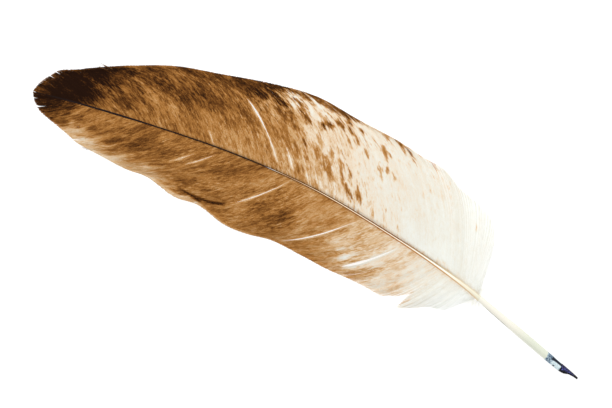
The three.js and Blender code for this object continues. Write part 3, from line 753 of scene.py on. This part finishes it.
narrowVane = {
    "side": -1,
    "seed": 23,
    "barbs": 620,
    "rows": 30,
    "overlap": 1.2,
    "past": 0.004,
    "lines": [
        (2, -0.9, 0.3), (8, 0.7, -2), (14, 2.9, -4.1), (22, 6.9, -6.6), (32, 14, -8.3), (44, 22, -9.9),
        (58, 31, -11.8), (76, 43, -12), (94, 57, -12.1), (108, 68.5, -10.7), (120, 84, -13),
        (131, 97, -11.2), (145, 112, -13.7), (158, 124, -12.7), (171, 137, -9.8), (185, 153, -9.6),
        (196, 167, -9.7), (206, 181, -8.8), (214, 194, -9), (221, 205, -10.8), (225, 212, -7.8),
        (229, 219, -3.5), (232, 226, -2), (235, 231, 3.5), (238, 236, 9.3),
    ],
    "bend": [(0, 0.5, 0.73, 1), (240, 0.5, 0.73, 1)],
    "splits": [
        (90.5, 0.12, 0.46, 0.13, 1.2), (97, 0.04, 0.42, 0.22, 1.6), (132.5, 0.04, 0.64, 0.36, 1.8),
        (171, 0.04, 0.9, 0.52, 2.2), (195, 0.06, 0.76, 0.6, 2.2), (195, 0.4, 0.78, 0.7, 2.2),
        (8.3, 0.7, 1.01, 0.5, 0.9), (17, 0.64, 1.01, 0.8, 1.0), (53, 0.86, 1.01, 0.6, 0.9),
    ],
    "notches": [[(208.4, -1), (205.2, -11.4), (204, -14), (193, -14), (196, -9.2), (203.4, -5.3)]],
    "uneven": [(0, 0.03), (20, 0.015), (60, 0.004), (205, 0.006), (224, 0.01), (238, 0.05)],
    "loose": [(0, 0.15), (40, 0.15), (190, 0.2), (215, 1.0), (238, 2.0)],
    "thin": [(0, 1), (200, 1), (218, 0.85), (238, 0.55)],
    "blunt": [(0, 0.5), (40, 0.9), (60, 1.2), (190, 1.2), (210, 0.6), (238, 0.4)],
    "look": {
        "shift": (37, 0, 0), "clouds": (0.12, 0.08, 1), "blotches": (0.2, 0.1, 1),
        "streaks": (0.6, 0.13, 1), "ragged": 1.8, "fine": 1.4,
    },
    "washes": {
        "shaft": [
            (0, 0.84, 0.9, 0.3), (5, 1.1, 1.1, 0.3), (15, 1.1, 1.15, 0.2), (19, 0.78, 1.0, 0.5),
            (23, 0.46, 0.7, 0.4), (40, 0.42, 0.57, 0.4), (60, 0.48, 0.6, 0.4), (80, 0.42, 0.6, 0.4),
            (100, 0.4, 0.58, 0.45), (120, 0.38, 0.54, 0.35), (142, 0.29, 0.41, 0.4),
            (156, 0.32, 0.44, 0.4), (166, 0.24, 0.38, 0.35), (176, 0.18, 0.32, 0.3),
            (188, 0.14, 0.24, 0.3), (205, 0.12, 0.17, 0.3), (220, 0.07, 0.12, 0.2), (236, 0.05, 0.07, 0.1),
        ],
        "middle": [
            (0, 0.82, 0.9, 0.3), (6, 0.94, 1.02, 0.3), (11.5, 0.86, 0.94, 0.4), (15.5, 0.62, 0.78, 0.5),
            (19, 0.44, 0.68, 0.4), (23, 0.38, 0.6, 0.4), (35, 0.37, 0.54, 0.4), (50, 0.45, 0.61, 0.45),
            (68, 0.46, 0.64, 0.45), (80, 0.4, 0.58, 0.4), (100, 0.4, 0.56, 0.4), (116, 0.36, 0.54, 0.4),
            (128, 0.4, 0.6, 0.45), (137, 0.4, 0.6, 0.45), (146, 0.28, 0.42, 0.4), (160, 0.26, 0.4, 0.4),
            (172, 0.16, 0.34, 0.4), (185, 0.12, 0.24, 0.4), (196, 0.1, 0.16, 0.35), (205, 0.08, 0.13, 0.3),
            (215, 0.06, 0.09, 0.2), (230, 0.03, 0.05, 0),
        ],
        "edge": [
            (0, 0.76, 0.87, 0.3), (8, 0.82, 0.92, 0.4), (13, 0.6, 0.78, 0.5), (18, 0.36, 0.56, 0.45),
            (23, 0.2, 0.34, 0.35), (30, 0.14, 0.19, 0.3), (40, 0.17, 0.23, 0.35), (52, 0.18, 0.3, 0.35),
            (70, 0.2, 0.36, 0.35), (84, 0.28, 0.48, 0.35), (92, 0.3, 0.56, 0.4), (100, 0.36, 0.56, 0.45),
            (115, 0.36, 0.54, 0.4), (130, 0.38, 0.54, 0.4), (142, 0.34, 0.46, 0.4), (160, 0.32, 0.44, 0.4),
            (180, 0.2, 0.3, 0.35), (193, 0.13, 0.2, 0.3), (202, 0.1, 0.14, 0.3), (212, 0.07, 0.1, 0.2),
            (225, 0.03, 0.05, 0),
        ],
    },
    "band": {
        "width": [
            (0, 0.8), (24, 0.8), (42, 1.8), (70, 1.4), (78, 2.2), (94, 2.2), (102, 1), (130, 1.1),
            (150, 0),
        ],
        "tone": [
            (0, 0.7), (12, 0.52), (24, 0.24), (40, 0.17), (70, 0.22), (88, 0.18), (104, 0.26), (130, 0.28),
        ],
        "cover": [(0, 0.6), (20, 0.6), (40, 0.85), (94, 0.9), (130, 0.7), (145, 0.4)],
    },
    "streaks": [(200, 0), (212, 0.4), (238, 0.2)],
    "pale": [
        (27, -6.6, 8, 3, 0.17), (32, -9, 9, 2.4, 0.15), (36, -8, 8, 2, 0.17), (23, -4.4, 6, 2.6, 0.23),
        (31, -5.4, 6, 2, 0.22), (38, -5.4, 7, 2, 0.25), (24, -8, 6, 1.6, 0.2), (50, -10, 14, 3, 0.18),
        (62, -9.4, 14, 3, 0.22), (44, -8, 8, 2, 0.26), (88, -11, 12, 2.4, 0.16), (95, -10.6, 6, 1.6, 0.14),
        (165, 5, 8, 3.4, 0.12), (172.5, 0, 8, 3, 0.03), (168, 2, 6, 2, 0.08), (185, 4, 8, 3, 0.1),
        (178, -2, 9, 2.6, 0.08), (181, 12, 9, 4, 0.16), (192, -5, 10, 3.4, 0.12), (170, 8, 10, 5, 0.18),
        (148, 12, 14, 7, 0.3), (207, 7, 12, 5, 0.09), (203, 12, 10, 5, 0.11), (190, 10, 12, 5, 0.14),
        (118, 16, 12, 5, 0.4), (92, 3, 14, 5, 0.4),
    ],
    "dark": [
        (45, -3, 12, 4, 0.66), (58, 1, 14, 5, 0.66), (48, -6, 10, 3, 0.62), (27.5, -4.6, 3, 1.2, 0.6),
        (34, -7, 4, 1.2, 0.38), (29.5, -8, 3, 1, 0.4), (20, -6, 5, 2, 0.6), (26, -1, 5, 2, 0.66),
        (34, -1, 6, 2, 0.62), (52, 5, 5, 3, 0.76), (87, -3, 12, 3, 0.6), (19.5, -1.5, 4, 1.4, 0.96),
        (126, 3, 10, 7, 0.62), (135, 1.5, 12, 7, 0.66), (108, 14, 12, 4, 0.62), (97, 8, 12, 5, 0.6),
        (103, 12, 8, 3, 0.56), (85, 10, 10, 4, 0.56), (186, -1, 9, 2.6, 0.32), (202, 0, 10, 2.4, 0.17),
        (198, 8, 9, 3, 0.15), (207.4, -6.5, 10, 1.1, 0.2),
    ],
    # lines across the barbs where the vane is folded, painted dark as shade in the fold: their points,
    # width and tone
    "shadedFolds": [
        (((84, -8.2), (90, -8.6), (97, -9.4)), 0.9, 0.84),
        (((92, -8.4), (100, -7.6), (107.5, -5)), 1.4, 0.92),
        (((66, -5), (74, -0.5), (82, 5)), 1.0, 0.62),
    ],
}

print("vanes")
makeVane("broadVane", broadVane, makeVaneFinish("broadVaneBarbs", broadVane["look"]))
makeVane("narrowVane", narrowVane, makeVaneFinish("narrowVaneBarbs", narrowVane["look"]))

# Loose strands: down beside the shaft at the base, and barbs that stand out at the edges.
# Each tuft is the x, y and z of its start, its heading in degrees from the x axis, the
# length of its strands and how many there are.
down = {
    "seed": 5,
    "rows": 12,
    "halfWidth": 0.045,
    "spread": 0.9,  # of the starts, in mm
    "fan": 20,  # of the headings, in degrees
    "curl": 75,
    "endHeight": (0.3, 2.2),
    "colours": [(232, 232, 220), (249, 249, 243)],
    "tufts": [
        (229, 15.3, 4.3, 118, 9, 16), (233, 14.5, 4.1, 108, 9, 18), (236.5, 13.8, 3.9, 98, 8, 20),
        (238.5, 13.3, 3.6, 84, 6, 16), (240.5, 12.8, 3.5, 60, 4, 8), (229, 13.2, 4.3, -128, 8, 14),
        (233, 12.3, 4.1, -118, 8, 16), (236, 11.6, 3.9, -105, 7.5, 18), (238.3, 11.1, 3.6, -88, 6, 14),
        (240.3, 10.8, 3.5, -62, 4, 8),
    ],
}
strayBarbs = {
    "seed": 8,
    "rows": 10,
    "halfWidth": 0.11,
    "spread": 0.25,
    "fan": 3,
    "curl": 10,
    "endHeight": (0.4, 0.9),
    "colours": [(116, 80, 48), (190, 148, 100)],
    "tufts": [
        (29, 28.3, 0.9, 188, 6.5, 7), (27.6, 27.2, 0.9, 190, 5.5, 6), (39.5, -10.7, 1.1, 197, 6, 5),
        (41.5, -11.2, 1.1, 190, 5, 3), (53, 39.8, 0.6, 166, 4, 2),
    ],
}


def makeLooseFinish(name, colours):
    finish = Finish(name)
    strands = finish.node("UVMap", {"uv_map": "strandMap"}, {})
    grain = finish.grain(strands, (1.3, 2.5, 1), 3.0, 0.6)
    first, second = (display(*colour) for colour in colours)
    colour = finish.mix(finish.step(grain, 0.35, 0.65), first, second)
    surface = {"Base Color": colour, "Roughness": 0.6 + grain * 0.3, "Specular IOR Level": 0.0}
    opaque = finish.node("BsdfPrincipled", {}, surface)
    through = finish.node("BsdfTranslucent", {}, {"Color": colour})
    return closeFinish(finish.node("MixShader", {}, {0: 0.6, 1: opaque, 2: through}))


def makeLoose(name, loose):
    rng = np.random.default_rng(loose["seed"])
    tuft = np.repeat(np.array(loose["tufts"], float), [row[-1] for row in loose["tufts"]], axis=0)
    count, rows = len(tuft), loose["rows"]
    share = np.linspace(0, 1, rows + 1)[None, :]

    def vary(low, high):  # one number for each strand
        return rng.uniform(low, high, (count, 1))

    heading = np.radians(tuft[:, 3:4] + loose["fan"] * rng.normal(0, 1, (count, 1)))
    waves = vary(-1, 1) * share**2 + 0.2 * np.sin(8 * share + vary(0, 6))
    heading = heading + np.radians(loose["curl"]) * waves
    step = tuft[:, 4:5] * vary(0.6, 1.1) / rows
    start = tuft[:, :2] + loose["spread"] * rng.normal(0, 1, (count, 2)) * (1, 0.3)
    x = start[:, :1] + np.cumsum(np.cos(heading) * step, axis=1)
    y = start[:, 1:] + np.cumsum(np.sin(heading) * step, axis=1)
    z = blend(tuft[:, 2:3], vary(*loose["endHeight"]), share)
    halfWidth = loose["halfWidth"] * (1.1 - 0.7 * share) * vary(0.7, 1.3)
    made = makeStrands(name, count, rows)
    layStrands(made, np.stack([x, y, z], axis=2), halfWidth, halfWidth * 0.8, 0)
    mesh, strand, row, side, top = made
    addMap(mesh, "strandMap", strand + side * 0.2, row / rows)
    addMap(mesh, "OFBake", (strand + 0.5 + side * 0.45) / count, 0.02 + 0.95 * row / rows + top * 0.01)
    addPiece(name, mesh, makeLooseFinish(name + "Strands", loose["colours"]))


print("loose strands")
makeLoose("down", down)
makeLoose("strayBarbs", strayBarbs)

# Rachis

rachis = {
    "from": 0.9,
    "to": 243.0,
    "rings": 180,
    "sides": 20,
    "slim": [
        (0, 1), (12, 1.7), (44, 1.6), (62, 0.85), (118, 0.7), (123, 1.0), (150, 0.95), (190, 0.8),
        (210, 0.85), (238, 1),
    ],
    "squareness": [(0, 0.85), (150, 0.72), (215, 0.75), (238, 1), (243, 1)],
    "plug": [(0, 1), (239.5, 1), (241, 0.7), (243, 0.5)],  # its end narrows inside the barrel
}


def rounded(wave, power):  # of a circle's sine or cosine: squarer for a power under 1
    return np.sign(wave) * np.abs(wave) ** power


def makeRachis():
    mesh = makePrism("rachis", rachis["sides"], rachis["rings"])
    places = readPlaces(mesh)
    x = blend(rachis["from"], rachis["to"], places[:, 2] + 0.5)
    turn = np.arctan2(places[:, 1], places[:, 0])
    power = readOff(rachis["squareness"], x)
    across, up = rounded(np.cos(turn), power), rounded(np.sin(turn), power)
    plug = readOff(rachis["plug"], x)
    centre = onShaft(x)
    centre[:, 1] += across * readOff(shaft["halfWidth"], x) * plug * readOff(rachis["slim"], x)
    centre[:, 2] += up * readOff(shaft["halfDepth"], x) * plug
    centre[:, 2] = np.maximum(centre[:, 2], lowest)
    mesh.vertices.foreach_set("co", toModel(centre).ravel())
    addMap(mesh, "shaftMap", across, x / featherLength)
    addPiece("rachis", mesh, makeRachisFinish())


print("rachis")
makeRachis()

# Barrel and nib

barrel = {
    "from": 239.2,
    "point": 299.8,
    "rings": 90,
    "sides": 32,
    "wall": 0.45,
    "turn": math.radians(45),  # the nib's back is turned a little to the broad side
    # distance before the point, and how far round from its back the barrel still reaches
    "reach": [
        (0, 0.3), (2.5, 0.5), (5.2, 0.85), (7, 1.45), (8.6, 1.8), (10, 2.0), (13, 2.25), (14.5, 2.6),
        (15.6, math.pi),
    ],
    "slitLength": 8.0,
    "slitWidth": 0.14,
    "crowding": 1.6,
    "mapScale": 3,  # of the map round the barrel
    "over": 1.01,  # just over the shaft's size, so that the rachis ends inside it
    "weld": 0.002,  # vertices nearer than this become one
}


def makeBarrel():
    bm = bmesh.new()
    bmesh.ops.create_grid(bm, x_segments=barrel["rings"], y_segments=barrel["sides"], size=1)
    length = barrel["point"] - barrel["from"]

    def beforePoint(vert):  # rings lie closer near the point
        return length * ((1 - vert.co.x) / 2) ** barrel["crowding"]

    def isInSlit(vert, slitLength):
        return abs(vert.co.y) < 1e-4 and beforePoint(vert) < slitLength

    slit = [e for e in bm.edges if all(isInSlit(vert, barrel["slitLength"]) for vert in e.verts)]
    bmesh.ops.split_edges(bm, edges=slit)
    barrelMap = bm.loops.layers.uv.new("barrelMap")
    for face in bm.faces:
        for loop in face.loops:
            loop[barrelMap].uv = (loop.vert.co.y * barrel["mapScale"], beforePoint(loop.vert))
    places = []
    for vert in bm.verts:
        before = beforePoint(vert)
        x = barrel["point"] - before
        turn = barrel["turn"] + vert.co.y * float(readOff(barrel["reach"], before))
        centre = onShaft(np.float64(x))
        away = 0
        if isInSlit(vert, barrel["slitLength"] - 0.5):
            lean = sum(face.calc_center_median().y for face in vert.link_faces)
            away = math.copysign(barrel["slitWidth"] / 2, lean)
        y = centre[1] + readOff(shaft["halfWidth"], x) * barrel["over"] * math.sin(turn) + away
        z = centre[2] + readOff(shaft["halfDepth"], x) * barrel["over"] * math.cos(turn)
        places.append((x, y, z))
    for vert, place in zip(bm.verts, places):
        vert.co = toModel(place)
    bmesh.ops.remove_doubles(bm, verts=bm.verts[:], dist=barrel["weld"] * mm)
    bm.normal_update()
    lastFace = min(bm.faces, key=lambda face: face.calc_center_median().x)
    centre = Vector(toModel(onShaft(np.float64(barrel["from"]))))
    if lastFace.normal.dot(lastFace.calc_center_median() - centre) < 0:
        bmesh.ops.reverse_faces(bm, faces=bm.faces[:])
    bmesh.ops.solidify(bm, geom=bm.faces[:], thickness=barrel["wall"] * mm)
    mesh = bpy.data.meshes.new("barrel")
    bm.to_mesh(mesh)
    bm.free()
    addPiece("barrel", mesh, makeBarrelFinish())


print("barrel")
makeBarrel()

# Floor, light and camera

stage = {
    "floorSize": 3.0,
    "floorGrey": 0.3,
    "floorGlow": 0.85,  # with the sky's light it makes the floor plain white
    "keyPlace": (-0.55, 0.95, 1.25),
    "keySize": 0.9,
    "keyPower": 14.0,
    "skyStrength": 0.9,
    "cameraOver": (143.1, 13.75),  # place in the drawing at the middle of the view, in mm
    "cameraHeight": 0.832,
    "cameraTurn": math.radians(27.69),
    "cameraNear": 0.01,
    "lens": 100,
}


def makeFloor():
    bm = bmesh.new()
    bmesh.ops.create_grid(bm, x_segments=1, y_segments=1, size=stage["floorSize"])
    mesh = bpy.data.meshes.new("floor")
    bm.to_mesh(mesh)
    bm.free()
    finish = Finish("floorWhite")
    grey = stage["floorGrey"]
    surface = {
        "Base Color": (grey, grey, grey, 1), "Roughness": 0.9, "Specular IOR Level": 0.0,
        "Emission Color": (1, 1, 1, 1), "Emission Strength": stage["floorGlow"],
    }
    mesh.materials.append(closeFinish(finish.node("BsdfPrincipled", {}, surface)))
    floor = bpy.data.objects.new("floor", mesh)
    bpy.context.collection.objects.link(floor)


def makeLights():
    data = bpy.data.lights.new("key", "AREA")
    data.size = stage["keySize"]
    data.energy = stage["keyPower"]
    key = bpy.data.objects.new("key", data)
    key.location = stage["keyPlace"]
    key.rotation_euler = (-Vector(stage["keyPlace"])).to_track_quat("-Z", "Y").to_euler()
    bpy.context.collection.objects.link(key)
    world = bpy.data.worlds.new("sky")
    bpy.context.scene.world = world
    world.use_nodes = True
    background = world.node_tree.nodes["Background"]
    background.inputs["Color"].default_value = (1, 1, 1, 1)
    background.inputs["Strength"].default_value = stage["skyStrength"]


def makeCamera():
    data = bpy.data.cameras.new("camera")
    data.lens = stage["lens"]
    data.clip_start = stage["cameraNear"]
    camera = bpy.data.objects.new("camera", data)
    place = toModel((*stage["cameraOver"], 0))
    camera.location = (place[0], place[1], stage["cameraHeight"])
    camera.rotation_euler = (0, 0, stage["cameraTurn"])
    bpy.context.collection.objects.link(camera)
    bpy.context.scene.camera = camera


print("floor, light and camera")
makeFloor()
makeLights()
makeCamera()
bpy.context.scene.view_settings.view_transform = "Standard"
